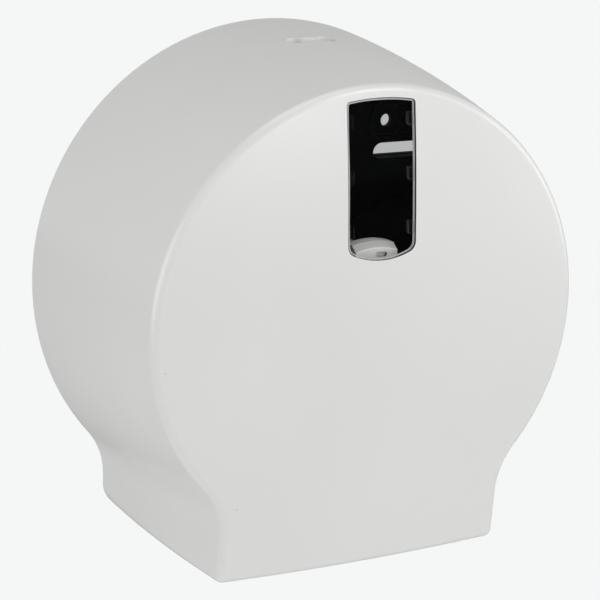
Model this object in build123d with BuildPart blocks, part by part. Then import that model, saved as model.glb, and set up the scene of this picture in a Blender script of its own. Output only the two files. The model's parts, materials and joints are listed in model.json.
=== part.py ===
from build123d import *
from math import sqrt
import os

# Wall-mounted dispenser for one jumbo roll of toilet paper, in millimetres.
# The wall is the plane Y = 0 and the room lies towards -Y. +Z is up, and the origin is the point of
# the wall on the hub's axis. A distance is counted from the wall, so its Y is minus the distance.

# Cover: a round casing on a narrower foot, tapered towards the room and domed in front
casing_depth = 134.0
rear_radius = 135.0
foot_width_share = 0.7126
foot_height_share = 0.9733
neck_share = 0.2852
rear_corner = 15.0
front_corner = 3.5
middle_taper = 6.9
front_taper = 18.5
front_drop = 1.1
dome_radius = 880.0
rim_round = 4.5
inner_round = 1.5
wall = 3.0
wall_gap = 1.0
heel_radius = 11.0
overrun = 20.0

# Window and its pane
window_half_width = 18.9
window_margin = 4.2
window_bottom = 31.8
window_bottom_radius = 40.0
window_top_corner = 2.0
window_bottom_corner = 5.5
pane_gap = 0.6
pane_thickness = 2.6
pane_bevel = 0.9
clip_count = 3
clip_height = 6.0
clip_thickness = 2.2
clip_hook = 1.7
clip_hook_depth = 1.6
clip_gap = 0.3
clip_rise = 1.8
clip_pitch_share = 0.335

# Key slot on the cover's top, and the catch behind it
slot_distance = 51.0
slot_length = 27.0
slot_end_radius = 5.2
slot_neck_width = 6.6
catch_gap = 2.0
catch_thickness = 4.0
catch_half_width = 12.0
catch_drop = 6.5
catch_root = 1.2

# Outlet under the cover
outlet_side = 30.2
outlet_rear = 26.0
outlet_lip = 38.0
outlet_corner = 3.0
outlet_rib = 2.2
outlet_rib_height = 5.0

# Serrated strips and their screws
strip_end_gap = 4.0
strip_thickness = 1.0
strip_depth = 11.0
strip_setback = 2.0
tooth_pitch = 4.0
tooth_height = 2.8
strip_screw_inset = 16.0
strip_screw_radius = 1.5
strip_screw_head_radius = 2.9
strip_screw_head = 1.7
strip_screw_length = 3.2

# Back plate
plate_thickness = 3.5
plate_gap = 1.6
plate_rim = 2.5
plate_rim_height = 5.5
pad_radius = 33.0
pad_height = 3.0
pad_margin = 2.0
fixing_side = 62.2
fixing_top = 58.8
fixing_radius = 3.5
dish_radius = 9.5
dish_wall = 2.0
dish_height = 3.0
long_slot_side = 70.3
long_slot_top = 74.8
long_slot_margin = 9.0
long_slot_height = 6.8
long_slot_corner = 5.5
slot_pad_margin = 5.0
slot_pad_height = 0.8
ledge_drop = 0.3
ledge_slope = 0.5
ledge_thickness = 2.8
ledge_depth = 6.5
ring_rib_radius = 56.0
rib_thickness = 2.2
rib_height = 4.5
rib_turn = 22.0
rib_count = 4
shelf_overlap = 4.0
shelf_depth = 18.5

# Hinge of the cover
pin_radius = 2.5
pin_head_radius = 4.2
pin_head = 1.8
press_gap = 0.02
running_gap = 0.06
end_gap = 0.4
ear_thickness = 7.0
ear_radius = 6.0
hinge_boss_radius = 6.5
hinge_boss_length = 6.4
hinge_gap = 0.8
hinge_blind = 5.2
hinge_clearance = 6.5

# Spindle post, its screws and washers
post_radius = 15.0
post_wall = 3.0
post_end = 4.0
post_boss_radius = 6.5
post_boss = 14.0
post_flange_radius = 31.0
post_flange = 4.0
post_screw_circle_radius = 25.5
post_screw_count = 4
screw_radius = 2.0
screw_head_radius = 3.9
screw_head = 2.6
screw_bite = 5.0
screw_gap = 0.15
brake_radius = 21.0
brake_thickness = 1.7
play = 0.3
hub_washer_radius = 18.5
hub_washer_thickness = 1.2
hub_screw_radius = 2.4
hub_screw_length = 12.0
hub_screw_head_radius = 5.0
hub_screw_head = 2.8

# Hub and cap
drum_radius = 31.7
drum_wall = 2.5
drum_flange_radius = 40.0
drum_flange = 3.0
drum_web = 3.0
flange_room = 3.9
collar_wall = 3.0
collar_length = 14.0
cap_radius = 39.7
cap_room = 3.4
cap_thickness = 10.1
cap_wall = 2.4
cap_bevel = 2.9
cap_bevel_depth = 4.3
cap_drum_gap = 0.6
arm_count = 4
arm_half_width = 11.6
head_room = 9.2
spigot_gap = 0.2
spigot_wall = 2.0
spigot_length = 12.0
tongue_count = 4
tongue_turn = 4.4
tongue_width = 5.6
tongue_slit = 1.2
tongue_hook = 1.2
hook_height = 2.4
hook_width = 4.0
hook_gap = 0.3
recess_radius = 33.6
recess_length = 6.2
recess_height = 2.4
recess_depth = 1.4

# Latch bolt, its bracket and its spring
bolt_dip = 1.1
bolt_ramp = 2.6
bolt_head_height = 8.5
bolt_half_width = 12.0
bolt_head_depth = 14.0
bolt_edge = 1.0
stem_half_width = 6.0
stem_half_depth = 4.8
stem_length = 15.5
barb = 1.4
barb_height = 2.6
barb_half_depth = 3.0
bolt_gap = 0.3
spring_bore = 3.3
bore_cap = 4.0
latch_travel = 4.0
guide_thickness = 4.0
guide_margin = 3.0
cheek_thickness = 2.5
cheek_gap = 0.9
floor_play = 1.0
floor_thickness = 2.5
bracket_flange = 3.0
bracket_half_width = 22.0
bracket_overlap = 4.0
bracket_screw_x = 16.5
peg_radius = 1.7
peg_height = 3.0
spring_radius = 2.6
spring_wire = 0.7
spring_turns = 7
spring_end_gap = 0.1

# Heads of the screws: how much of a head is rounded and how much its cross takes
head_round_share = 0.55
cross_length_share = 1.1
cross_width_share = 0.24
cross_depth_share = 0.45
tip_share = 0.4

# Sizes and places on the cover that follow from the sizes above
rear_foot = rear_radius * foot_width_share
foot_height = rear_radius * foot_height_share
neck_radius = rear_radius * neck_share
rim_distance = wall_gap
middle_distance = (casing_depth + wall_gap) / 2
rim_band = foot_height ** 2 / dome_radius
dome_centre = dome_radius - casing_depth
hinge_distance = heel_radius + wall_gap
hinge_z = heel_radius - foot_height
floor_z = wall - foot_height
boss_face = rear_foot - wall - hinge_boss_length
window_top = rear_radius - front_taper - front_drop - window_margin
clip_middle = (window_top + window_bottom) / 2 + clip_rise
clip_pitch = (window_top - window_bottom) * clip_pitch_share
window_low_centre = window_bottom + window_bottom_radius
outlet_half_width = rear_foot - outlet_side
outlet_front = casing_depth - outlet_lip
strip_half_width = outlet_half_width - strip_end_gap
strip_screw_spacing = strip_half_width - strip_screw_inset
slot_centre = slot_length / 2 - slot_end_radius
bolt_rear = slot_distance - bolt_head_depth / 2
bolt_front = slot_distance + bolt_head_depth / 2
catch_front = bolt_rear - catch_gap

# Places on the back plate and the hub
plate_inset = wall + plate_gap
plate_radius = rear_radius - plate_inset
plate_half_foot = rear_foot - plate_inset
plate_bottom = plate_inset - foot_height
plate_front = plate_thickness + plate_rim_height
pad_front = plate_thickness + pad_height
fixing_x = rear_radius - fixing_side
fixing_z = rear_radius - fixing_top
long_slot_inner = rear_radius - long_slot_side
long_slot_z = rear_radius - long_slot_top
slot_reach = sqrt((plate_radius - plate_rim) ** 2 - (long_slot_z + long_slot_height / 2) ** 2)
long_slot_outer = slot_reach - long_slot_margin
long_slot_middle = (long_slot_inner + long_slot_outer) / 2
long_slot_width = long_slot_outer - long_slot_inner
shelf_half_width = outlet_half_width + shelf_overlap
shelf_top = plate_bottom + plate_rim
shelf_front = plate_thickness + shelf_depth
ear_outer = boss_face - hinge_gap
ear_inner = ear_outer - ear_thickness
cap_front = casing_depth - wall - cap_room
cap_rear = cap_front - cap_thickness
cap_waist = drum_radius + cap_drum_gap + cap_wall
drum_bore = drum_radius - drum_wall
drum_front = cap_front - cap_wall - play
flange_front = pad_front + post_flange
drum_rear = flange_front + screw_head + flange_room
post_front = cap_front - cap_wall - head_room - hub_screw_head - hub_washer_thickness
hub_bore = post_radius + running_gap
collar_radius = hub_bore + collar_wall
collar_rear = flange_front + brake_thickness + play
collar_front = post_front - play
spigot_radius = drum_bore - spigot_gap
spigot_rear = cap_front - cap_wall - spigot_length
hook_distance = spigot_rear + hook_height


def arc_middle(centre, start, end, radius):
    """The point halfway along the short arc from start to end about centre."""
    centre = Vector(*centre)
    outward = (Vector(*start) - centre).normalized() + (Vector(*end) - centre).normalized()
    return centre + outward.normalized() * radius


def casing_face(distance, taper, inset, drop):
    """The casing's outline at a distance from the wall, drawn in by taper and inset at its sides."""
    taper_share = taper / front_taper
    radius = rear_radius - taper - inset
    half = rear_foot - taper - inset
    neck = neck_radius + inset
    corner = max(rear_corner - (rear_corner - front_corner) * sqrt(taper_share) - inset, inner_round)
    centre_z = -front_drop * taper_share
    bottom = inset - foot_height - drop
    neck_x = half + neck
    neck_z = centre_z - sqrt((radius + neck) ** 2 - neck_x ** 2)
    touch = Vector(0, centre_z) + Vector(neck_x, neck_z - centre_z) * (radius / (radius + neck))
    side_top = Vector(half, neck_z)
    side_end = Vector(half, bottom + corner)
    base_end = Vector(half - corner, bottom)
    neck_middle = arc_middle((neck_x, neck_z), tuple(touch)[:2], tuple(side_top)[:2], neck)
    corner_middle = arc_middle((half - corner, bottom + corner), tuple(side_end)[:2], tuple(base_end)[:2], corner)

    def left(point):
        return Vector(-point.X, point.Y)

    with BuildSketch(Plane.XZ.offset(distance)) as face:
        with BuildLine():
            ThreePointArc(touch, (0, centre_z + radius), left(touch))
            ThreePointArc(left(touch), left(neck_middle), left(side_top))
            Line(left(side_top), left(side_end))
            ThreePointArc(left(side_end), left(corner_middle), left(base_end))
            Line(left(base_end), base_end)
            ThreePointArc(base_end, corner_middle, side_end)
            Line(side_end, side_top)
            ThreePointArc(side_top, neck_middle, touch)
        make_face()
    return face.sketch


def casing(inset, drop, rounding):
    """The casing's volume, drawn in by inset all round and lowered at its foot by drop."""
    with BuildPart() as volume:
        loft([
            casing_face(rim_distance, 0, inset, drop),
            casing_face(middle_distance, middle_taper, inset, drop),
            casing_face(casing_depth, front_taper, inset, drop),
        ])
        with Locations((0, dome_centre, 0)):
            Sphere(dome_radius - inset, mode=Mode.INTERSECT)
        rim = volume.edges().filter_by_position(Axis.Y, -casing_depth, rim_band - casing_depth)
        fillet(rim, radius=rounding)
    return volume.part


def casing_top(distance):
    """The height of the casing's top at a distance from the wall."""
    share = (distance - rim_distance) / (casing_depth - rim_distance)
    bend = 2 * (front_taper - 2 * middle_taper)
    taper = (front_taper - bend) * share + bend * share ** 2
    return rear_radius - taper - front_drop * taper / front_taper


def window_face(inset):
    """The window's outline, drawn in by inset, in front of the dome."""
    half = window_half_width - inset
    top = window_top - inset
    low = window_bottom_radius - inset
    top_z = sqrt(top ** 2 - half ** 2)
    low_z = window_low_centre - sqrt(low ** 2 - half ** 2)
    with BuildSketch(Plane.XZ.offset(casing_depth)) as face:
        with BuildLine():
            Line((half, low_z), (half, top_z))
            ThreePointArc((half, top_z), (0, top), (-half, top_z))
            Line((-half, top_z), (-half, low_z))
            ThreePointArc((-half, low_z), (0, window_low_centre - low), (half, low_z))
        make_face()
        fillet(face.vertices().group_by(Axis.Y)[-1], radius=window_top_corner - inset)
        fillet(face.vertices().group_by(Axis.Y)[0], radius=window_bottom_corner - inset)
    return face.sketch


def clip_stock(inner, outer, front, rear):
    """Blocks for the pane's clips between two half widths, cut to two depths behind the dome."""
    with BuildPart() as stock:
        for side in (-1, 1):
            with BuildSketch(Plane.XZ.offset(casing_depth)):
                with Locations((side * (inner + outer) / 2, clip_middle)):
                    with GridLocations(outer - inner, clip_pitch, 1, clip_count):
                        Rectangle(outer - inner, clip_height)
            extrude(amount=-overrun)
        with Locations((0, dome_centre, 0)):
            Sphere(dome_radius - front, mode=Mode.INTERSECT)
            Sphere(dome_radius - rear, mode=Mode.SUBTRACT)
    return stock.part


def turned(start, end, outer, inner=0):
    """A disc or sleeve about the hub's axis between two distances from the wall."""
    with BuildPart() as sleeve:
        with BuildSketch(Plane.XZ.offset(start)):
            Circle(outer)
            if inner:
                Circle(inner, mode=Mode.SUBTRACT)
        extrude(amount=end - start)
    return sleeve.part


def cap_form(front, inset):
    """The cap's form, a bevelled disc with four arms past a round waist, drawn in by inset."""
    with BuildPart() as form:
        add(turned(cap_rear, front, cap_radius - inset))
        front_face = form.faces().sort_by(Axis.Y)[0]
        chamfer(front_face.edges(), length=cap_bevel, length2=cap_bevel_depth, reference=front_face)
        with BuildSketch(Plane.XZ.offset(cap_rear)):
            Circle(cap_waist - inset)
            with PolarLocations(0, arm_count):
                Rectangle(cap_radius, 2 * (arm_half_width - inset), align=(Align.MIN, Align.CENTER))
        extrude(amount=cap_thickness, mode=Mode.INTERSECT)
    return form.part


def screw(shank_radius, length, head_radius, head):
    """A screw with a rounded head on the plane Z = 0 and its shank below."""
    with BuildPart() as fastener:
        with BuildSketch():
            Circle(head_radius)
        extrude(amount=head)
        fillet(fastener.edges().group_by(Axis.Z)[-1], radius=head * head_round_share)
        with BuildSketch(Plane.XY.offset(head)):
            Rectangle(head_radius * cross_length_share, head_radius * cross_width_share)
            Rectangle(head_radius * cross_width_share, head_radius * cross_length_share)
        extrude(amount=-head * cross_depth_share, mode=Mode.SUBTRACT)
        with BuildSketch():
            Circle(shank_radius)
        extrude(amount=-length)
        chamfer(fastener.edges().group_by(Axis.Z)[0], length=shank_radius * tip_share)
    return fastener.part


def toothed_strip(back, root, tip, base):
    """A serrated strip whose back, tooth roots and tooth tips lie at distances from the wall."""
    count = round(2 * strip_half_width / tooth_pitch)
    pitch = 2 * strip_half_width / count
    outline = [(-strip_half_width, -back), (-strip_half_width, -root)]
    for tooth in range(count):
        start = tooth * pitch - strip_half_width
        outline.append((start + pitch / 2, -tip))
        outline.append((start + pitch, -root))
    outline.append((strip_half_width, -back))
    with BuildPart() as strip:
        with BuildSketch(Plane.XY.offset(base)):
            with BuildLine():
                Polyline(*outline, close=True)
            make_face()
            with Locations((0, -(back + root) / 2)):
                with GridLocations(strip_screw_spacing, strip_screw_spacing, 3, 1):
                    Circle(strip_screw_radius + screw_gap, mode=Mode.SUBTRACT)
        extrude(amount=strip_thickness)
    return strip.part


# Cover shell, with its window, outlet, hinge bosses, key slot and catch
strip_front_root = outlet_front
strip_front_back = outlet_front + strip_depth
front_screw_distance = (strip_front_root + strip_front_back) / 2
rib_front = strip_front_back + strip_setback
catch_bottom = casing_top(catch_front) - wall - catch_drop

with BuildPart() as rear_opening:
    add(casing(wall, overrun, inner_round))
    with BuildSketch(Plane.XZ.offset(outlet_rear)):
        Rectangle(2 * (rear_radius + overrun), 2 * (foot_height + 2 * overrun))
    extrude(amount=casing_depth, mode=Mode.SUBTRACT)

outer_casing = casing(0, 0, rim_round)
with BuildPart() as hinge_bosses:
    for side in (-1, 1):
        with BuildSketch(Plane.YZ.offset(side * boss_face)):
            with Locations((-hinge_distance, hinge_z)):
                Circle(hinge_boss_radius)
        extrude(amount=side * (hinge_boss_length + wall))
    add(outer_casing, mode=Mode.INTERSECT)

with BuildPart() as cover_shell:
    add(outer_casing)
    add(casing(wall, 0, inner_round), mode=Mode.SUBTRACT)
    add(rear_opening.part, mode=Mode.SUBTRACT)
    # Rounded heel, so that the foot clears the wall as the cover swings
    with BuildSketch(Plane.YZ):
        with Locations((-hinge_distance / 2, hinge_z - foot_height / 2)):
            Rectangle(hinge_distance, foot_height)
        with Locations((-hinge_distance, hinge_z)):
            Circle(heel_radius, mode=Mode.SUBTRACT)
    extrude(amount=rear_radius, both=True, mode=Mode.SUBTRACT)
    # Outlet for the paper, with a rib along its sides and front
    with BuildSketch(Plane.XY.offset(floor_z)):
        with Locations((0, -(outlet_rear + rib_front + outlet_rib) / 2)):
            Rectangle(2 * (outlet_half_width + outlet_rib), rib_front + outlet_rib - outlet_rear)
        with Locations((0, -(outlet_rear + rib_front) / 2)):
            Rectangle(2 * outlet_half_width, rib_front - outlet_rear, mode=Mode.SUBTRACT)
    extrude(amount=outlet_rib_height)
    with BuildSketch(Plane.XY.offset(floor_z)) as mouth:
        with Locations((0, -outlet_front / 2)):
            Rectangle(2 * outlet_half_width, outlet_front)
        fillet(mouth.vertices().group_by(Axis.Y)[0], radius=outlet_corner)
    extrude(amount=-overrun, mode=Mode.SUBTRACT)
    with BuildSketch(Plane.XY.offset(floor_z)):
        with Locations((0, -front_screw_distance)):
            with GridLocations(strip_screw_spacing, strip_screw_spacing, 3, 1):
                Circle(strip_screw_radius + press_gap)
    extrude(amount=strip_thickness - strip_screw_length, mode=Mode.SUBTRACT)
    # Bosses inside the foot, bored for the hinge pins
    add(hinge_bosses.part)
    for side in (-1, 1):
        with BuildSketch(Plane.YZ.offset(side * boss_face)):
            with Locations((-hinge_distance, hinge_z)):
                Circle(pin_radius + running_gap)
        extrude(amount=side * hinge_blind, mode=Mode.SUBTRACT)
    # Catch under the top, and the key slot over the latch bolt
    with BuildSketch(Plane.XY.offset(catch_bottom)):
        with Locations((0, catch_thickness / 2 - catch_front)):
            Rectangle(2 * catch_half_width, catch_thickness)
    extrude(amount=catch_drop + catch_root)
    with BuildSketch(Plane.XY.offset(catch_bottom)):
        with Locations((0, -slot_distance)):
            Rectangle(2 * slot_centre, slot_neck_width)
            with GridLocations(2 * slot_centre, slot_neck_width, 2, 1):
                Circle(slot_end_radius)
    extrude(amount=overrun, mode=Mode.SUBTRACT)
    extrude(window_face(0), amount=-overrun, mode=Mode.SUBTRACT)

# Window pane, held by six hooked clips
pane_half = window_half_width - pane_gap
hook_depth = wall + clip_gap
with BuildPart() as window_pane:
    extrude(window_face(pane_gap), amount=-overrun)
    with Locations((0, dome_centre, 0)):
        Sphere(dome_radius, mode=Mode.INTERSECT)
        Sphere(dome_radius - pane_thickness, mode=Mode.SUBTRACT)
    pane_front = window_pane.faces().filter_by(GeomType.SPHERE).sort_by(Axis.Y)[0]
    chamfer(pane_front.edges(), length=pane_bevel)
    add(clip_stock(pane_half - clip_thickness, pane_half, pane_thickness - clip_gap, hook_depth + clip_hook_depth))
    add(clip_stock(pane_half - clip_gap, pane_half + clip_hook, hook_depth, hook_depth + clip_hook_depth))

# Serrated strips: one on the cover's lip, one on the back plate's shelf
with BuildPart() as front_tear_strip:
    add(toothed_strip(strip_front_back, strip_front_root, strip_front_root - tooth_height, floor_z))

rear_strip_back = shelf_front - strip_depth
rear_screw_distance = (rear_strip_back + shelf_front) / 2
with BuildPart() as rear_tear_strip:
    add(toothed_strip(rear_strip_back, shelf_front, shelf_front + tooth_height, shelf_top))

strip_screw = screw(strip_screw_radius, strip_screw_length, strip_screw_head_radius, strip_screw_head)
with BuildPart() as front_tear_screws:
    with Locations((0, -front_screw_distance, floor_z + strip_thickness)):
        with GridLocations(strip_screw_spacing, strip_screw_spacing, 3, 1):
            add(strip_screw)

with BuildPart() as rear_tear_screws:
    with Locations((0, -rear_screw_distance, shelf_top + strip_thickness)):
        with GridLocations(strip_screw_spacing, strip_screw_spacing, 3, 1):
            add(strip_screw)

# Latch: heights of the bolt and its bracket, from the catch down
bolt_top = catch_bottom - bolt_dip
bolt_head_bottom = bolt_top - bolt_head_height
guide_top = bolt_head_bottom - latch_travel - play
guide_bottom = guide_top - guide_thickness
stem_bottom = bolt_head_bottom - stem_length
floor_top = stem_bottom - latch_travel - floor_play
bracket_bottom = floor_top - floor_thickness
bracket_top = bolt_head_bottom
flange_bottom = bracket_bottom - bracket_overlap
bracket_screw_z = (flange_bottom + bracket_top) / 2
cheek_inner = stem_half_width + barb + cheek_gap
cheek_outer = cheek_inner + cheek_thickness
guide_rear = slot_distance - stem_half_depth - bolt_gap - guide_margin
guide_front = slot_distance + stem_half_depth + bolt_gap + guide_margin
bracket_face = pad_front + bracket_flange

# Back plate, with its rim, pads, ribs, dished fixing holes, long slots, shelf and hinge ears
with BuildPart() as back_plate:
    extrude(casing_face(0, 0, plate_inset, 0), amount=plate_front)
    extrude(casing_face(plate_thickness, 0, plate_inset + plate_rim, 0), amount=plate_rim_height, mode=Mode.SUBTRACT)
    # Rim left off beside the cover's hinge bosses
    with BuildSketch(Plane.XZ.offset(plate_thickness)):
        for side in (-1, 1):
            with Locations((side * (boss_face - hinge_gap), hinge_z)):
                Rectangle(
                    rear_foot, 2 * hinge_boss_radius + 2 * hinge_clearance,
                    align=(Align.MIN if side > 0 else Align.MAX, Align.CENTER),
                )
    extrude(amount=plate_rim_height, mode=Mode.SUBTRACT)
    # Ribs round and out from the hub
    with BuildSketch(Plane.XZ.offset(plate_thickness)) as ribs:
        for turn in (rib_turn, 90 - rib_turn):
            with PolarLocations(0, rib_count, start_angle=turn):
                Rectangle(plate_radius - plate_rim, rib_thickness, align=(Align.MIN, Align.CENTER))
        Circle(ring_rib_radius)
        Circle(ring_rib_radius - rib_thickness, mode=Mode.SUBTRACT)
    extrude(amount=rib_height)
    # Pads under the spindle post and the latch bracket
    with BuildSketch(Plane.XZ.offset(plate_thickness)):
        Circle(pad_radius)
        with Locations((0, bracket_screw_z)):
            Rectangle(2 * (bracket_half_width + pad_margin), bracket_top - flange_bottom + 2 * pad_margin)
    extrude(amount=pad_height)
    # Dished holes for the wall screws
    with BuildSketch(Plane.XZ.offset(plate_thickness)):
        with GridLocations(2 * fixing_x, 2 * fixing_z, 2, 2):
            Circle(dish_radius + dish_wall)
            Circle(dish_radius, mode=Mode.SUBTRACT)
    extrude(amount=dish_height)
    with BuildSketch(Plane.XZ):
        with GridLocations(2 * fixing_x, 2 * fixing_z, 2, 2):
            Circle(fixing_radius)
    extrude(amount=overrun, mode=Mode.SUBTRACT)
    # Long slots, each in a low pad and over a ledge
    with BuildSketch(Plane.XZ.offset(plate_thickness)) as slot_pads:
        with Locations((0, long_slot_z)):
            with GridLocations(2 * long_slot_middle, long_slot_height, 2, 1):
                Rectangle(long_slot_width + 2 * slot_pad_margin, long_slot_height + 2 * slot_pad_margin)
        fillet(slot_pads.vertices(), radius=long_slot_corner)
    extrude(amount=slot_pad_height)
    with BuildSketch(Plane.XZ) as long_slots:
        with Locations((0, long_slot_z)):
            with GridLocations(2 * long_slot_middle, long_slot_height, 2, 1):
                Rectangle(long_slot_width, long_slot_height)
        fillet(long_slots.vertices().group_by(Axis.Y)[-1], radius=long_slot_corner)
    extrude(amount=overrun, mode=Mode.SUBTRACT)
    ledge_top = long_slot_z - long_slot_height / 2 - ledge_drop
    for side in (-1, 1):
        with BuildSketch(Plane.YZ.offset(side * long_slot_inner)):
            with BuildLine():
                Polyline(
                    (-plate_thickness, ledge_top),
                    (-plate_thickness - ledge_depth, ledge_top - ledge_slope),
                    (-plate_thickness - ledge_depth, ledge_top - ledge_slope - ledge_thickness),
                    (-plate_thickness, ledge_top - ledge_slope - ledge_thickness),
                    close=True,
                )
            make_face()
        extrude(amount=side * long_slot_width)
    # Shelf for the rear strip
    with BuildSketch(Plane.XY.offset(plate_bottom)):
        with Locations((0, -(plate_thickness + shelf_front) / 2)):
            Rectangle(2 * shelf_half_width, shelf_depth)
    extrude(amount=plate_rim)
    with BuildSketch(Plane.XY.offset(shelf_top)):
        with Locations((0, -rear_screw_distance)):
            with GridLocations(strip_screw_spacing, strip_screw_spacing, 3, 1):
                Circle(strip_screw_radius + press_gap)
    extrude(amount=strip_thickness - strip_screw_length, mode=Mode.SUBTRACT)
    # Hinge ears
    for side in (-1, 1):
        with BuildSketch(Plane.YZ.offset(side * ear_inner)):
            with Locations((-hinge_distance, hinge_z)):
                Circle(ear_radius)
            with Locations((-(hinge_distance + plate_thickness) / 2, hinge_z)):
                Rectangle(hinge_distance - plate_thickness, 2 * ear_radius)
            with Locations((-hinge_distance, hinge_z)):
                Circle(pin_radius + press_gap, mode=Mode.SUBTRACT)
        extrude(amount=side * ear_thickness)
    # Blind holes for the post's and the bracket's screws
    with BuildSketch(Plane.XZ.offset(pad_front)):
        with PolarLocations(post_screw_circle_radius, post_screw_count, start_angle=45):
            Circle(screw_radius + press_gap)
        with Locations((-bracket_screw_x, bracket_screw_z), (bracket_screw_x, bracket_screw_z)):
            Circle(screw_radius + press_gap)
    extrude(amount=-screw_bite, mode=Mode.SUBTRACT)

# Hinge pins, pressed through the ears into the cover's bosses
pin_length = ear_thickness + hinge_gap + hinge_blind - end_gap
with BuildPart() as hinge_pin_left:
    with BuildSketch(Plane.YZ.offset(-ear_inner)):
        with Locations((-hinge_distance, hinge_z)):
            Circle(pin_radius)
    extrude(amount=-pin_length)
    with BuildSketch(Plane.YZ.offset(-ear_inner)):
        with Locations((-hinge_distance, hinge_z)):
            Circle(pin_head_radius)
    extrude(amount=pin_head)
    fillet(hinge_pin_left.edges().group_by(Axis.X)[-1], radius=pin_head * head_round_share)
    chamfer(hinge_pin_left.edges().group_by(Axis.X)[0], length=end_gap)

with BuildPart() as hinge_pin_right:
    mirror(hinge_pin_left.part, about=Plane.YZ)

# Spindle post, a hollow post closed in front round the hub screw's boss
with BuildPart() as spindle_post:
    add(turned(pad_front, flange_front, post_flange_radius))
    add(turned(pad_front, post_front, post_radius))
    add(turned(0, post_front - post_end, post_radius - post_wall), mode=Mode.SUBTRACT)
    add(turned(post_front - post_boss, post_front, post_boss_radius))
    add(turned(0, post_front + overrun, hub_screw_radius + press_gap), mode=Mode.SUBTRACT)
    with BuildSketch(Plane.XZ.offset(flange_front)):
        with PolarLocations(post_screw_circle_radius, post_screw_count, start_angle=45):
            Circle(screw_radius + screw_gap)
    extrude(amount=-post_flange, mode=Mode.SUBTRACT)

# Screws through the post's flange and the bracket's flange
post_screw = screw(screw_radius, post_flange + screw_bite - end_gap, screw_head_radius, screw_head)
with BuildPart() as spindle_screws:
    with Locations(Plane.XZ.offset(flange_front)):
        with PolarLocations(post_screw_circle_radius, post_screw_count, start_angle=45):
            add(post_screw)

bracket_screw = screw(screw_radius, bracket_flange + screw_bite - end_gap, screw_head_radius, screw_head)
with BuildPart() as latch_bracket_screws:
    with Locations(Plane.XZ.offset(bracket_face)):
        with Locations((-bracket_screw_x, bracket_screw_z), (bracket_screw_x, bracket_screw_z)):
            add(bracket_screw)

# Washers behind and in front of the hub, and the screw that holds it
with BuildPart() as brake_washer:
    add(turned(flange_front, flange_front + brake_thickness, brake_radius, post_radius + press_gap))

with BuildPart() as hub_washer:
    add(turned(post_front, post_front + hub_washer_thickness, hub_washer_radius, hub_screw_radius + screw_gap))

front_screw = screw(hub_screw_radius, hub_screw_length, hub_screw_head_radius, hub_screw_head)
with BuildPart() as hub_screw:
    with Locations(Plane.XZ.offset(post_front + hub_washer_thickness)):
        add(front_screw)

# Roll hub: a drum with a rear flange, running on the post in two collars
with BuildPart() as roll_hub:
    add(turned(drum_rear, drum_front, drum_radius))
    add(turned(drum_rear, drum_rear + drum_flange, drum_flange_radius))
    flange_edge = roll_hub.faces().filter_by(Axis.Y).sort_by(Axis.Y)[-1].outer_wire().edges()
    fillet(flange_edge, radius=drum_flange / 2 * head_round_share)
    add(turned(drum_rear + drum_flange, drum_front, drum_bore), mode=Mode.SUBTRACT)
    add(turned(collar_front - drum_web - drum_flange, collar_front - drum_flange, drum_bore))
    add(turned(collar_rear, collar_rear + collar_length, collar_radius))
    add(turned(collar_front - collar_length, collar_front, collar_radius))
    add(turned(0, drum_front, hub_bore), mode=Mode.SUBTRACT)
    # Windows that the cap's hooks snap into
    with BuildSketch(Plane.XZ.offset(hook_distance - hook_gap - hook_height)):
        with PolarLocations(drum_bore, tongue_count, start_angle=90 - tongue_turn):
            Rectangle(2 * drum_wall + overrun / 2, hook_width + 2 * hook_gap)
        Circle(spigot_radius - spigot_wall, mode=Mode.SUBTRACT)
    extrude(amount=hook_height + 2 * hook_gap, mode=Mode.SUBTRACT)

# Cap over the hub's front, with four arms and recesses and a spigot slit into four sprung tongues
with BuildPart() as hub_cap:
    add(cap_form(cap_front, 0))
    add(cap_form(cap_front - cap_wall, cap_wall), mode=Mode.SUBTRACT)
    add(turned(spigot_rear, cap_front - cap_wall, spigot_radius, spigot_radius - spigot_wall))
    with BuildSketch(Plane.XZ.offset(spigot_rear)):
        with PolarLocations(spigot_radius, tongue_count, start_angle=90 - tongue_turn):
            Rectangle(2 * spigot_wall + tongue_hook, tongue_width + 2 * tongue_slit)
            Rectangle(2 * spigot_wall + tongue_hook, tongue_width, mode=Mode.SUBTRACT)
    extrude(amount=spigot_length, mode=Mode.SUBTRACT)
    with BuildSketch(Plane.XZ.offset(hook_distance - hook_height)):
        with PolarLocations(spigot_radius, tongue_count, start_angle=90 - tongue_turn):
            Rectangle(2 * tongue_hook, hook_width)
        Circle(spigot_radius - spigot_wall / 2, mode=Mode.SUBTRACT)
    extrude(amount=hook_height)
    with BuildSketch(Plane.XZ.offset(cap_front)):
        with PolarLocations(recess_radius, tongue_count, start_angle=90 - tongue_turn):
            SlotOverall(recess_length, recess_height, rotation=90)
    extrude(amount=-recess_depth, mode=Mode.SUBTRACT)

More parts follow.
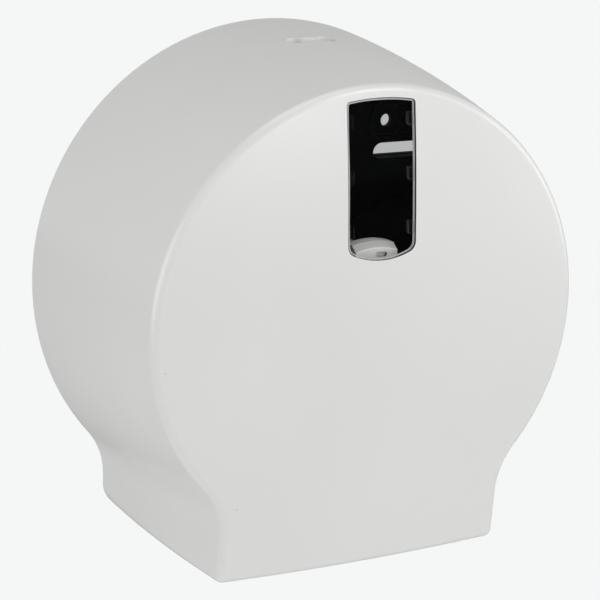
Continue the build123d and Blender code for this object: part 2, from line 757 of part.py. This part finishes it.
# Latch bolt, pressed down by the key against its spring
with BuildPart() as latch_bolt:
    with BuildSketch(Plane.YZ):
        with BuildLine():
            Polyline(
                (-bolt_rear, bolt_head_bottom),
                (-bolt_rear, bolt_top),
                (-bolt_front, bolt_top - bolt_ramp),
                (-bolt_front, bolt_head_bottom),
                close=True,
            )
        make_face()
    extrude(amount=bolt_half_width, both=True)
    fillet(latch_bolt.edges().filter_by(Axis.Z), radius=bolt_edge)
    with BuildSketch(Plane.XY.offset(bolt_head_bottom)):
        with Locations((0, -slot_distance)):
            Rectangle(2 * stem_half_width, 2 * stem_half_depth)
    extrude(amount=-stem_length)
    for side in (-1, 1):
        with BuildSketch(Plane.XZ.offset(slot_distance)):
            with BuildLine():
                Polyline(
                    (side * stem_half_width, guide_bottom - play),
                    (side * (stem_half_width + barb), guide_bottom - play),
                    (side * stem_half_width, guide_bottom - play - barb_height),
                    close=True,
                )
            make_face()
        extrude(amount=barb_half_depth, both=True)
    with BuildSketch(Plane.XY.offset(stem_bottom)):
        with Locations((0, -slot_distance)):
            Circle(spring_bore)
    extrude(amount=stem_length - bore_cap, mode=Mode.SUBTRACT)

# Latch bracket, an arm from the back plate with a guide for the bolt and a floor for its spring
with BuildPart() as latch_bracket:
    with BuildSketch(Plane.XZ.offset(pad_front)) as wall_flange:
        with Locations((0, bracket_screw_z)):
            Rectangle(2 * bracket_half_width, bracket_top - flange_bottom)
        fillet(wall_flange.vertices(), radius=bracket_overlap)
        with Locations((-bracket_screw_x, bracket_screw_z), (bracket_screw_x, bracket_screw_z)):
            Circle(screw_radius + screw_gap, mode=Mode.SUBTRACT)
    extrude(amount=bracket_flange)
    with BuildSketch(Plane.XY.offset(bracket_bottom)):
        with Locations((0, -(pad_front + guide_front) / 2)):
            Rectangle(2 * cheek_outer, guide_front - pad_front)
            Rectangle(2 * cheek_inner, guide_front - pad_front, mode=Mode.SUBTRACT)
    extrude(amount=guide_top - bracket_bottom)
    with BuildSketch(Plane.XY.offset(guide_top)):
        with Locations((0, -(guide_rear + guide_front) / 2)):
            Rectangle(2 * cheek_outer, guide_front - guide_rear)
        with Locations((0, -slot_distance)):
            Rectangle(2 * (stem_half_width + bolt_gap), 2 * (stem_half_depth + bolt_gap), mode=Mode.SUBTRACT)
    extrude(amount=-guide_thickness)
    with BuildSketch(Plane.XY.offset(bracket_bottom)):
        with Locations((0, -(guide_rear + guide_front) / 2)):
            Rectangle(2 * cheek_outer, guide_front - guide_rear)
    extrude(amount=floor_thickness)
    with BuildSketch(Plane.XY.offset(floor_top)):
        with Locations((0, -slot_distance)):
            Circle(peg_radius)
    extrude(amount=peg_height)

# Spring between the bracket's floor and the end of the bolt's bore
spring_low = floor_top + spring_wire / 2 + spring_end_gap
spring_high = bolt_head_bottom - bore_cap - spring_wire / 2 - spring_end_gap
with BuildPart() as latch_spring:
    with BuildLine() as coil:
        Helix(
            pitch=(spring_high - spring_low) / spring_turns,
            height=spring_high - spring_low,
            radius=spring_radius,
            center=(0, -slot_distance, spring_low),
        )
    with BuildSketch(Plane(origin=coil.line @ 0, z_dir=coil.line % 0)):
        Circle(spring_wire / 2)
    sweep()

cover_shell.part.label = "cover_shell"
window_pane.part.label = "window_pane"
front_tear_strip.part.label = "front_tear_strip"
front_tear_screws.part.label = "front_tear_screws"
back_plate.part.label = "back_plate"
rear_tear_strip.part.label = "rear_tear_strip"
rear_tear_screws.part.label = "rear_tear_screws"
hinge_pin_left.part.label = "hinge_pin_left"
hinge_pin_right.part.label = "hinge_pin_right"
spindle_post.part.label = "spindle_post"
spindle_screws.part.label = "spindle_screws"
brake_washer.part.label = "brake_washer"
hub_washer.part.label = "hub_washer"
hub_screw.part.label = "hub_screw"
roll_hub.part.label = "roll_hub"
hub_cap.part.label = "hub_cap"
latch_bolt.part.label = "latch_bolt"
latch_bracket.part.label = "latch_bracket"
latch_bracket_screws.part.label = "latch_bracket_screws"
latch_spring.part.label = "latch_spring"

os.makedirs("parts", exist_ok=True)
export_step(cover_shell.part, "parts/cover_shell.step")
export_step(window_pane.part, "parts/window_pane.step")
export_step(front_tear_strip.part, "parts/front_tear_strip.step")
export_step(front_tear_screws.part, "parts/front_tear_screws.step")
export_step(back_plate.part, "parts/back_plate.step")
export_step(rear_tear_strip.part, "parts/rear_tear_strip.step")
export_step(rear_tear_screws.part, "parts/rear_tear_screws.step")
export_step(hinge_pin_left.part, "parts/hinge_pin_left.step")
export_step(hinge_pin_right.part, "parts/hinge_pin_right.step")
export_step(spindle_post.part, "parts/spindle_post.step")
export_step(spindle_screws.part, "parts/spindle_screws.step")
export_step(brake_washer.part, "parts/brake_washer.step")
export_step(hub_washer.part, "parts/hub_washer.step")
export_step(hub_screw.part, "parts/hub_screw.step")
export_step(roll_hub.part, "parts/roll_hub.step")
export_step(hub_cap.part, "parts/hub_cap.step")
export_step(latch_bolt.part, "parts/latch_bolt.step")
export_step(latch_bracket.part, "parts/latch_bracket.step")
export_step(latch_bracket_screws.part, "parts/latch_bracket_screws.step")
export_step(latch_spring.part, "parts/latch_spring.step")
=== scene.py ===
import json
import math

import bpy
from mathutils import Matrix, Vector


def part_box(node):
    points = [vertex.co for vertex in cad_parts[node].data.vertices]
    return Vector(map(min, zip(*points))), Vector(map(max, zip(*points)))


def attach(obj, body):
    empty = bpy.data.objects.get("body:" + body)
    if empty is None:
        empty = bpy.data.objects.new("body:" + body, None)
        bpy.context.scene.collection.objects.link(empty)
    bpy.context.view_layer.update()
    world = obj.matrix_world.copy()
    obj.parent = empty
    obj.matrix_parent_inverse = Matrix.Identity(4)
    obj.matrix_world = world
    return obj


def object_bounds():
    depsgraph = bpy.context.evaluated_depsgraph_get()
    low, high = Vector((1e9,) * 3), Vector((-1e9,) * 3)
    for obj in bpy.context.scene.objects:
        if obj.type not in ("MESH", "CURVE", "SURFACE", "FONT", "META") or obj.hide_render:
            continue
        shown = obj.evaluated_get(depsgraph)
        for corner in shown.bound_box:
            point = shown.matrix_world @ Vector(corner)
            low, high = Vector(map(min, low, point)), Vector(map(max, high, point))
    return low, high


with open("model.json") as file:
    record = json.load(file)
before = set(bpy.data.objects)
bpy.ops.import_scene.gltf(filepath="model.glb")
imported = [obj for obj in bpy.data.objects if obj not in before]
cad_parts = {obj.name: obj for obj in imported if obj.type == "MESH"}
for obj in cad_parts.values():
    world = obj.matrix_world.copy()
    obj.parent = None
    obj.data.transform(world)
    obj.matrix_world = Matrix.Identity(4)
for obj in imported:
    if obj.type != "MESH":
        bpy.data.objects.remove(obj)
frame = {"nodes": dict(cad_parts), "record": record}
cad_low, cad_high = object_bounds()
nodes = frame["nodes"]

MM = 0.001

# The domed front, as in the part
casing_depth = 134.0 * MM
dome_radius = 880.0 * MM
dome_centre = dome_radius - casing_depth

# The zone of the window's walls, and how deep the painted shade reaches in the gap round the pane
pane_low, pane_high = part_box("window_pane")
window_middle = (pane_low.z + pane_high.z) / 2
gap_half_width = 19.3 * MM
gap_half_height = 40.2 * MM
gap_shade_depth_mm = 1.5

# The zone of the key slot's walls, over the latch bolt, where a highlight is painted
bolt_low, bolt_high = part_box("latch_bolt")
slot_y = (bolt_low.y + bolt_high.y) / 2
slot_half_length = 14.0 * MM
slot_half_width = 8.0 * MM
slot_bottom = 118.0 * MM

# The pane's clips, and their roots by depth behind the front
clip_middle = 73.3 * MM
clip_pitch = 26.6 * MM
clip_half_height = 3.0 * MM
clip_inner = 15.25 * MM
clip_outer = 18.1 * MM
root_front = 0.55 * MM
root_rear = 1.45 * MM

# The pane's cut edge by depth behind the front, in millimetres: the depth that the ramps cover,
# and where the bands of painted highlight start and end
edge_span = 4.0
bevel_start = 0.30
bevel_full = 0.40
rim_start = 1.52
rim_full = 1.60
rim_end = 2.24
rim_gone = 2.32

# The hub cap: its front part, the edge of its bevel, and its recesses
cap_depth = 5.1 * MM
cap_front_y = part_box("hub_cap")[0].y + cap_depth
cap_edge_radius = 36.8 * MM
cap_edge_half_width = 0.3 * MM
recess_radius = 33.6 * MM
recess_reach = 1.6 * MM
arm_half_width = 9.5 * MM

# Specks in the cover's plastic: cells a metre, the speck's core and edge in its cell, and the share of cells
# that have one
speck_cells = 52.0
speck_core = 0.018
speck_edge = 0.026
speck_share = 0.30

# Colours
white = (1.0, 1.0, 1.0)
black = (0.0, 0.0, 0.0)
shadow = (0.02, 0.02, 0.02)
speck_grey = (0.60, 0.60, 0.58)
# painted highlight for the key slot's walls
slot_highlight_white = (0.98, 0.98, 0.97)
# painted shade for the hub cap's bevel
bevel_shade_grey = (0.70, 0.70, 0.685)
# painted highlight for the edge of the hub cap's bevel
edge_highlight_white = (1.0, 1.0, 0.98)
# painted highlight for the pane's cut edges
cut_highlight_white = (0.97, 0.975, 0.965)
dim_rim = (0.22, 0.22, 0.22)
backdrop_colour = (0.914, 0.922, 0.922, 1.0)
world_colour = (1.0, 1.0, 1.0, 1.0)

# Studio: the floor, the level of the light from all round, and how bright the backdrop
# and the floor show behind the pane, where shade is painted, and in reflections
floor_drop = 160.0 * MM
floor_reach = 6.0
world_level = 0.36
level_behind_pane = 0.56
level_mirrored = 0.03
light_target = Vector((0.0, -0.06, 0.0))

# Camera, where the photograph was taken from
camera_place = Vector((-434.8, -901.6, 250.1)) * MM
yaw = 0.46988
pitch = 0.26500
roll = 0.02358
lens_mm = 111.29
sensor_mm = 36.0
camera_near = 0.01
camera_far = 50.0


def new_material(name):
    """A node material: returns it with its tree, its surface shader and its object coordinates."""
    material = bpy.data.materials.new(name)
    material.use_nodes = True
    tree = material.node_tree
    shader = tree.nodes["Principled BSDF"]
    place = tree.nodes.new("ShaderNodeTexCoord")
    return material, tree, shader, place.outputs["Object"]


def bare_tree(owner):
    """The emptied node tree of a material or a world."""
    owner.use_nodes = True
    owner.node_tree.nodes.clear()
    return owner.node_tree


def maths(tree, kind, *values):
    """The result of a sum on sockets or numbers."""
    node = tree.nodes.new("ShaderNodeMath")
    node.operation = kind
    for socket, value in zip(node.inputs, values):
        if isinstance(value, bpy.types.NodeSocket):
            tree.links.new(value, socket)
        else:
            socket.default_value = value
    return node.outputs[0]


def all_of(tree, *masks):
    """Where all masks hold."""
    product = masks[0]
    for mask in masks[1:]:
        product = maths(tree, "MULTIPLY", product, mask)
    return product


def within(tree, value, middle, reach):
    """Where a value lies within a reach of a middle."""
    offset = maths(tree, "ABSOLUTE", maths(tree, "SUBTRACT", value, middle))
    return maths(tree, "LESS_THAN", offset, reach)


def split_axes(tree, vector):
    """The X, Y and Z of a vector, by their letters."""
    node = tree.nodes.new("ShaderNodeSeparateXYZ")
    tree.links.new(vector, node.inputs["Vector"])
    return node.outputs


def facing_off(tree, axis, limit):
    """Where a surface faces along an axis, either way, by less than a limit from 0 to 1."""
    facing = tree.nodes.new("ShaderNodeTexCoord")
    along = maths(tree, "ABSOLUTE", split_axes(tree, facing.outputs["Normal"])[axis])
    return maths(tree, "LESS_THAN", along, limit)


def under_dome(tree, place):
    """Depth behind the domed front, in millimetres."""
    node = tree.nodes.new("ShaderNodeVectorMath")
    node.operation = "DISTANCE"
    node.inputs[1].default_value = (0.0, dome_centre, 0.0)
    tree.links.new(place, node.inputs[0])
    depth = maths(tree, "SUBTRACT", dome_radius, node.outputs["Value"])
    return maths(tree, "DIVIDE", depth, MM)


def noise(tree, vector, scale, detail=2.0, rough=0.5):
    """Value of a noise with so many features a metre."""
    node = tree.nodes.new("ShaderNodeTexNoise")
    node.inputs["Scale"].default_value = scale
    node.inputs["Detail"].default_value = detail
    node.inputs["Roughness"].default_value = rough
    tree.links.new(vector, node.inputs["Vector"])
    return node.outputs["Fac"]


def ramp(tree, value, *stops):
    """A value turned into a colour by stops of (place, colour)."""
    node = tree.nodes.new("ShaderNodeValToRGB")
    band = node.color_ramp
    while len(band.elements) < len(stops):
        band.elements.new(0.5)
    for element, (place, colour) in zip(band.elements, stops):
        element.position = place
        element.color = (*colour, 1.0)
    tree.links.new(value, node.inputs["Fac"])
    return node.outputs["Color"]


def depth_ramp(tree, depth, *stops):
    """A depth in millimetres turned into a colour by stops of (millimetres, colour) up to edge_span."""
    share = maths(tree, "DIVIDE", depth, edge_span)
    return ramp(tree, share, *((stop / edge_span, colour) for stop, colour in stops))


def span(tree, value, low, high):
    """A value from 0 to 1 turned into one from low to high."""
    node = tree.nodes.new("ShaderNodeMapRange")
    node.inputs["To Min"].default_value = low
    node.inputs["To Max"].default_value = high
    tree.links.new(value, node.inputs["Value"])
    return node.outputs["Result"]


def mix_colour(tree, factor, first, second):
    """A colour between two, either of which may be a socket or a colour."""
    node = tree.nodes.new("ShaderNodeMix")
    node.data_type = "RGBA"
    colours = [socket for socket in node.inputs if socket.type == "RGBA"]
    tree.links.new(factor, node.inputs["Factor"])
    for socket, value in zip(colours, (first, second)):
        if isinstance(value, bpy.types.NodeSocket):
            tree.links.new(value, socket)
        else:
            socket.default_value = (*value, 1.0)
    return [socket for socket in node.outputs if socket.type == "RGBA"][0]


def add_bump(tree, shader, height, strength, depth):
    """Bumps of a depth in metres on the shader's normal."""
    node = tree.nodes.new("ShaderNodeBump")
    node.inputs["Strength"].default_value = strength
    node.inputs["Distance"].default_value = depth
    tree.links.new(height, node.inputs["Height"])
    tree.links.new(node.outputs["Normal"], shader.inputs["Normal"])


def moulded(name, light, dark, roughness, grain, strength, shine=0.5):
    """Moulded plastic: a slight drift in colour and gloss, and a fine spark-eroded grain."""
    material, tree, shader, place = new_material(name)
    drift = noise(tree, place, scale=14.0, detail=3.0)
    tree.links.new(ramp(tree, drift, (0.35, dark), (0.65, light)), shader.inputs["Base Color"])
    gloss = noise(tree, place, scale=45.0, detail=4.0)
    tree.links.new(span(tree, gloss, roughness - 0.04, roughness + 0.04), shader.inputs["Roughness"])
    fine = noise(tree, place, scale=grain, detail=3.0, rough=0.6)
    add_bump(tree, shader, fine, strength, depth=0.12 * MM)
    shader.inputs["Specular IOR Level"].default_value = shine
    return material


def hub_white(name):
    """The hub's white plastic, with painted shade on the cap's bevel, a painted highlight along its edge and
    painted shade on its recess walls.
    """
    material = moulded(
        name, light=(0.88, 0.88, 0.86), dark=(0.85, 0.85, 0.83), roughness=0.38, grain=2200.0, strength=0.12)
    tree = material.node_tree
    base = tree.nodes["Principled BSDF"].inputs["Base Color"]
    spot = split_axes(tree, tree.nodes.new("ShaderNodeTexCoord").outputs["Object"])
    squares = [maths(tree, "MULTIPLY", spot[axis], spot[axis]) for axis in "XZ"]
    radius = maths(tree, "SQRT", maths(tree, "ADD", *squares))
    front = maths(tree, "LESS_THAN", spot["Y"], cap_front_y)

    # painted shade on the cap's bevel, which the front wall keeps from the light
    bevel_shade_mask = maths(tree, "GREATER_THAN", radius, cap_edge_radius + cap_edge_half_width)
    bevel_shaded = mix_colour(tree, all_of(tree, bevel_shade_mask, front), base.links[0].from_socket, bevel_shade_grey)
    # painted highlight along the edge of the cap's bevel
    edge_highlight_mask = within(tree, radius, cap_edge_radius, cap_edge_half_width)
    edge_highlighted = mix_colour(tree, all_of(tree, edge_highlight_mask, front), bevel_shaded, edge_highlight_white)

    # painted shade on the walls of the recesses in the cap's arms
    beside = within(tree, radius, recess_radius, recess_reach)
    steep = facing_off(tree, "Y", limit=0.6)
    offsets = [maths(tree, "ABSOLUTE", spot[axis]) for axis in "XZ"]
    in_arm = maths(tree, "LESS_THAN", maths(tree, "MINIMUM", *offsets), arm_half_width)
    recess_shade_mask = all_of(tree, beside, steep, in_arm, front)
    tree.links.new(mix_colour(tree, recess_shade_mask, edge_highlighted, shadow), base)
    return material


def specks(tree, place):
    """Where the odd small speck lies."""
    cells = tree.nodes.new("ShaderNodeTexVoronoi")
    cells.inputs["Scale"].default_value = speck_cells
    tree.links.new(place, cells.inputs["Vector"])
    dots = ramp(tree, cells.outputs["Distance"], (0.0, white), (speck_core, white), (speck_edge, black))
    pick = tree.nodes.new("ShaderNodeSeparateColor")
    tree.links.new(cells.outputs["Color"], pick.inputs["Color"])
    chosen = maths(tree, "LESS_THAN", pick.outputs["Red"], speck_share)
    return all_of(tree, dots, chosen)


def pane_gap(tree, place, spot):
    """The front of the window's walls in the narrow gap round the pane, where shade is painted."""
    return all_of(
        tree,
        within(tree, spot["X"], 0.0, gap_half_width),
        within(tree, spot["Z"], window_middle, gap_half_height),
        facing_off(tree, "Y", limit=0.5),
        maths(tree, "LESS_THAN", under_dome(tree, place), gap_shade_depth_mm))


def slot_highlight_walls(tree, spot):
    """The key slot's walls, where a highlight is painted."""
    return all_of(
        tree,
        within(tree, spot["X"], 0.0, slot_half_length),
        within(tree, spot["Y"], slot_y, slot_half_width),
        facing_off(tree, "Z", limit=0.5),
        maths(tree, "GREATER_THAN", spot["Z"], slot_bottom))


def pearl_plastic(name):
    """The cover's satin white: fine grain, the odd speck, painted shade in the gap round the pane and a
    painted highlight on the key slot's walls.
    """
    material, tree, shader, place = new_material(name)
    drift = noise(tree, place, scale=9.0, detail=3.0)
    base = ramp(tree, drift, (0.3, (0.775, 0.780, 0.765)), (0.7, (0.800, 0.804, 0.790)))
    spotted = mix_colour(tree, specks(tree, place), base, speck_grey)
    spot = split_axes(tree, place)
    # painted shade on the window's walls in the narrow gap round the pane
    gap_shaded = mix_colour(tree, pane_gap(tree, place, spot), spotted, shadow)
    # painted highlight on the key slot's walls
    slot_highlighted = mix_colour(tree, slot_highlight_walls(tree, spot), gap_shaded, slot_highlight_white)
    tree.links.new(slot_highlighted, shader.inputs["Base Color"])
    gloss = noise(tree, place, scale=60.0, detail=4.0)
    tree.links.new(span(tree, gloss, low=0.27, high=0.33), shader.inputs["Roughness"])
    shader.inputs["Specular IOR Level"].default_value = 0.9
    fine = noise(tree, place, scale=2300.0, detail=3.0, rough=0.6)
    add_bump(tree, shader, fine, strength=0.10, depth=0.1 * MM)
    return material


def clear_plastic(name):
    """The pane's clear plastic: glossy, with a faint haze, and a painted highlight where its edge is cut."""
    material, tree, shader, place = new_material(name)
    haze = noise(tree, place, scale=70.0, detail=4.0)
    depth = under_dome(tree, place)
    # painted highlight on the pane's cut edges: its bevel and a band on its inner rim
    bevel = depth_ramp(tree, depth, (0.0, black), (bevel_start, black), (bevel_full, white))
    rim = depth_ramp(
        tree, depth, (0.0, dim_rim), (rim_start, dim_rim),
        (rim_full, white), (rim_end, white), (rim_gone, dim_rim))
    edge = mix_colour(tree, facing_off(tree, "Y", limit=0.55), bevel, rim)
    cut = mix_colour(tree, facing_off(tree, "Y", limit=0.93), black, edge)
    body = ramp(tree, haze, (0.3, (0.010, 0.011, 0.012)), (0.7, (0.016, 0.017, 0.018)))
    tree.links.new(mix_colour(tree, cut, body, cut_highlight_white), shader.inputs["Base Color"])
    tree.links.new(span(tree, haze, low=0.03, high=0.07), shader.inputs["Roughness"])
    tree.links.new(span(tree, cut, low=0.05, high=0.97), shader.inputs["Alpha"])
    shader.inputs["IOR"].default_value = 1.5
    material.surface_render_method = "BLENDED"
    return material


def metal(name, colour, roughness, stretch, strength):
    """Metal with a fine grain drawn out by stretch, in features a metre on each axis."""
    material, tree, shader, place = new_material(name)
    stretched = tree.nodes.new("ShaderNodeMapping")
    stretched.inputs["Scale"].default_value = stretch
    tree.links.new(place, stretched.inputs["Vector"])
    grain = noise(tree, stretched.outputs["Vector"], scale=1.0, detail=3.0)
    darker = tuple(0.82 * c for c in colour)
    tree.links.new(ramp(tree, grain, (0.3, darker), (0.7, colour)), shader.inputs["Base Color"])
    tree.links.new(span(tree, grain, roughness - 0.08, roughness + 0.1), shader.inputs["Roughness"])
    shader.inputs["Metallic"].default_value = 1.0
    add_bump(tree, shader, grain, strength, depth=0.06 * MM)
    return material


def plain_mesh(name, points, faces, material):
    """A mesh object of points and faces in one material, in the scene."""
    mesh = bpy.data.meshes.new(name)
    mesh.from_pydata(points, [], faces)
    mesh.materials.append(material)
    piece = bpy.data.objects.new(name, mesh)
    bpy.context.scene.collection.objects.link(piece)
    return piece


def behind_dome(x, z, depth):
    """The point of the pane at a depth behind the domed front."""
    return (x, dome_centre - math.sqrt((dome_radius - depth) ** 2 - x * x - z * z), z)


def clip_root(side, middle):
    """Points and faces of one clip's root on a side of the pane."""
    outline = [
        (side * clip_inner, middle - clip_half_height),
        (side * clip_outer, middle - clip_half_height),
        (side * clip_outer, middle + clip_half_height),
        (side * clip_inner, middle + clip_half_height)]
    points = [behind_dome(x, z, depth) for depth in (root_front, root_rear) for x, z in outline]
    faces = [(0, 1, 2, 3), (7, 6, 5, 4)]
    faces += [(k, k + 4, (k + 1) % 4 + 4, (k + 1) % 4) for k in range(4)]
    if side < 0:
        faces = [face[::-1] for face in faces]
    return points, faces


def clip_roots(material):
    """The roots of the pane's six clips, moulded into its thickness, as one piece."""
    points, faces = [], []
    for side in (-1, 1):
        for step in (-1, 0, 1):
            root_points, root_faces = clip_root(side, clip_middle + step * clip_pitch)
            faces += [tuple(len(points) + corner for corner in face) for face in root_faces]
            points += root_points
    return plain_mesh("pane_clip_roots", points, faces, material)


def chosen_shader(tree, factor, first, second):
    """The first shader where the factor is 0, the second where it is 1."""
    node = tree.nodes.new("ShaderNodeMixShader")
    tree.links.new(factor, node.inputs["Fac"])
    tree.links.new(first, node.inputs[1])
    tree.links.new(second, node.inputs[2])
    return node.outputs[0]


def past_clear(tree, ray):
    """Where a ray has already passed through a clear surface."""
    return maths(tree, "GREATER_THAN", ray.outputs["Transparent Depth"], 0.5)


def pale_surface(name):
    """The floor's pale glow, dimmer behind the pane and in reflections, and clear from below."""
    material = bpy.data.materials.new(name)
    tree = bare_tree(material)
    ray = tree.nodes.new("ShaderNodeLightPath")
    # painted shade on the floor where it shows through the pane or a slot
    through = all_of(tree, past_clear(tree, ray), ray.outputs["Is Camera Ray"])
    level = tree.nodes.new("ShaderNodeMix")
    level.inputs["B"].default_value = level_mirrored
    tree.links.new(ray.outputs["Is Glossy Ray"], level.inputs["Factor"])
    tree.links.new(span(tree, through, 1.0, level_behind_pane), level.inputs["A"])
    glow = tree.nodes.new("ShaderNodeEmission")
    glow.inputs["Color"].default_value = backdrop_colour
    tree.links.new(level.outputs["Result"], glow.inputs["Strength"])
    clear = tree.nodes.new("ShaderNodeBsdfTransparent")
    side = tree.nodes.new("ShaderNodeNewGeometry")
    surface = chosen_shader(tree, side.outputs["Backfacing"], glow.outputs[0], clear.outputs[0])
    out = tree.nodes.new("ShaderNodeOutputMaterial")
    tree.links.new(surface, out.inputs["Surface"])
    return material


def studio_world(name):
    """A pale backdrop, dimmer behind the pane, and an even light from all round."""
    world = bpy.data.worlds.new(name)
    tree = bare_tree(world)
    ray = tree.nodes.new("ShaderNodeLightPath")
    seen = tree.nodes.new("ShaderNodeBackground")
    seen.inputs["Color"].default_value = backdrop_colour
    # painted shade on the backdrop where it shows through the pane or a slot
    tree.links.new(span(tree, past_clear(tree, ray), 1.0, level_behind_pane), seen.inputs["Strength"])
    lit = tree.nodes.new("ShaderNodeBackground")
    lit.inputs["Color"].default_value = world_colour
    lit.inputs["Strength"].default_value = world_level
    surface = chosen_shader(tree, ray.outputs["Is Camera Ray"], lit.outputs[0], seen.outputs[0])
    out = tree.nodes.new("ShaderNodeOutputWorld")
    tree.links.new(surface, out.inputs["Surface"])
    return world


def softbox(name, place, width, height, power):
    """A rectangular light at a place, turned to the part."""
    light = bpy.data.lights.new(name, "AREA")
    light.shape = "RECTANGLE"
    light.size = width
    light.size_y = height
    light.energy = power
    lamp = bpy.data.objects.new(name, light)
    lamp.location = place
    lamp.rotation_euler = (light_target - Vector(place)).to_track_quat("-Z", "Y").to_euler()
    bpy.context.scene.collection.objects.link(lamp)


def photo_camera(name):
    """The camera, turned by yaw and pitch and then rolled."""
    data = bpy.data.cameras.new(name)
    data.sensor_width = sensor_mm
    data.lens = lens_mm
    data.clip_start = camera_near
    data.clip_end = camera_far
    forward = Vector((math.sin(yaw) * math.cos(pitch), math.cos(yaw) * math.cos(pitch), -math.sin(pitch)))
    level = forward.cross(Vector((0.0, 0.0, 1.0))).normalized()
    upward = level.cross(forward)
    right = level * math.cos(roll) + upward * math.sin(roll)
    up = upward * math.cos(roll) - level * math.sin(roll)
    turn = Matrix((right, up, -forward)).transposed().to_4x4()
    camera = bpy.data.objects.new(name, data)
    camera.matrix_world = Matrix.Translation(camera_place) @ turn
    bpy.context.scene.collection.objects.link(camera)
    return camera


materials = {
    "pearl_abs": pearl_plastic("pearl_abs"),
    "clear_pane": clear_plastic("clear_pane"),
    "black_abs": moulded(
        "black_abs", light=(0.0065, 0.0065, 0.007), dark=(0.004, 0.004, 0.0045),
        roughness=0.55, grain=1700.0, strength=0.35, shine=0.05),
    "grey_plastic": moulded(
        "grey_plastic", light=(0.50, 0.50, 0.49), dark=(0.46, 0.46, 0.455),
        roughness=0.4, grain=2000.0, strength=0.15),
    "hub_plastic": hub_white("hub_plastic"),
    "latch_plastic": moulded(
        "latch_plastic", light=(0.92, 0.92, 0.90), dark=(0.89, 0.89, 0.87),
        roughness=0.36, grain=2200.0, strength=0.12),
    "strip_steel": metal(
        "strip_steel", colour=(0.62, 0.62, 0.61), roughness=0.3,
        stretch=(30.0, 2600.0, 2600.0), strength=0.3),
    "screw_steel": metal(
        "screw_steel", colour=(0.66, 0.66, 0.64), roughness=0.32,
        stretch=(900.0, 900.0, 900.0), strength=0.25),
    "spring_steel": metal(
        "spring_steel", colour=(0.56, 0.56, 0.57), roughness=0.28,
        stretch=(1500.0, 1500.0, 300.0), strength=0.2),
    "brake_rubber": moulded(
        "brake_rubber", light=(0.030, 0.030, 0.030), dark=(0.022, 0.022, 0.022),
        roughness=0.75, grain=1200.0, strength=0.4),
}
slot_of = {entry["node"]: entry["material_slot"] for entry in frame["record"]["subparts"]}
for name, node in nodes.items():
    node.data.materials.clear()
    node.data.materials.append(materials[slot_of[name]])

roots = clip_roots(materials["clear_pane"])
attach(roots, "cover")

# Floor well under the part, clear of the open cover
ground = cad_low.z - floor_drop
corners = [(-1, -1), (1, -1), (1, 1), (-1, 1)]
floor_points = [(x * floor_reach, y * floor_reach, ground) for x, y in corners]
floor = plain_mesh("floor", floor_points, [(0, 1, 2, 3)], pale_surface("pale_floor"))

bpy.context.scene.world = studio_world("studio")
softbox("key_light", place=(0.545, -1.895, 0.345), width=0.4, height=0.4, power=2.7)
softbox("high_light", place=(0.80, -1.50, 1.10), width=0.6, height=0.5, power=5.8)
softbox("top_light", place=(0.0, -0.3, 2.2), width=1.6, height=1.6, power=11.6)
softbox("left_light", place=(-2.2, -0.4, 0.1), width=1.8, height=1.8, power=17.4)
softbox("right_light", place=(2.0, -1.0, 0.2), width=1.4, height=1.4, power=12.6)
bpy.context.scene.camera = photo_camera("camera")
bpy.context.scene.view_settings.view_transform = "Standard"
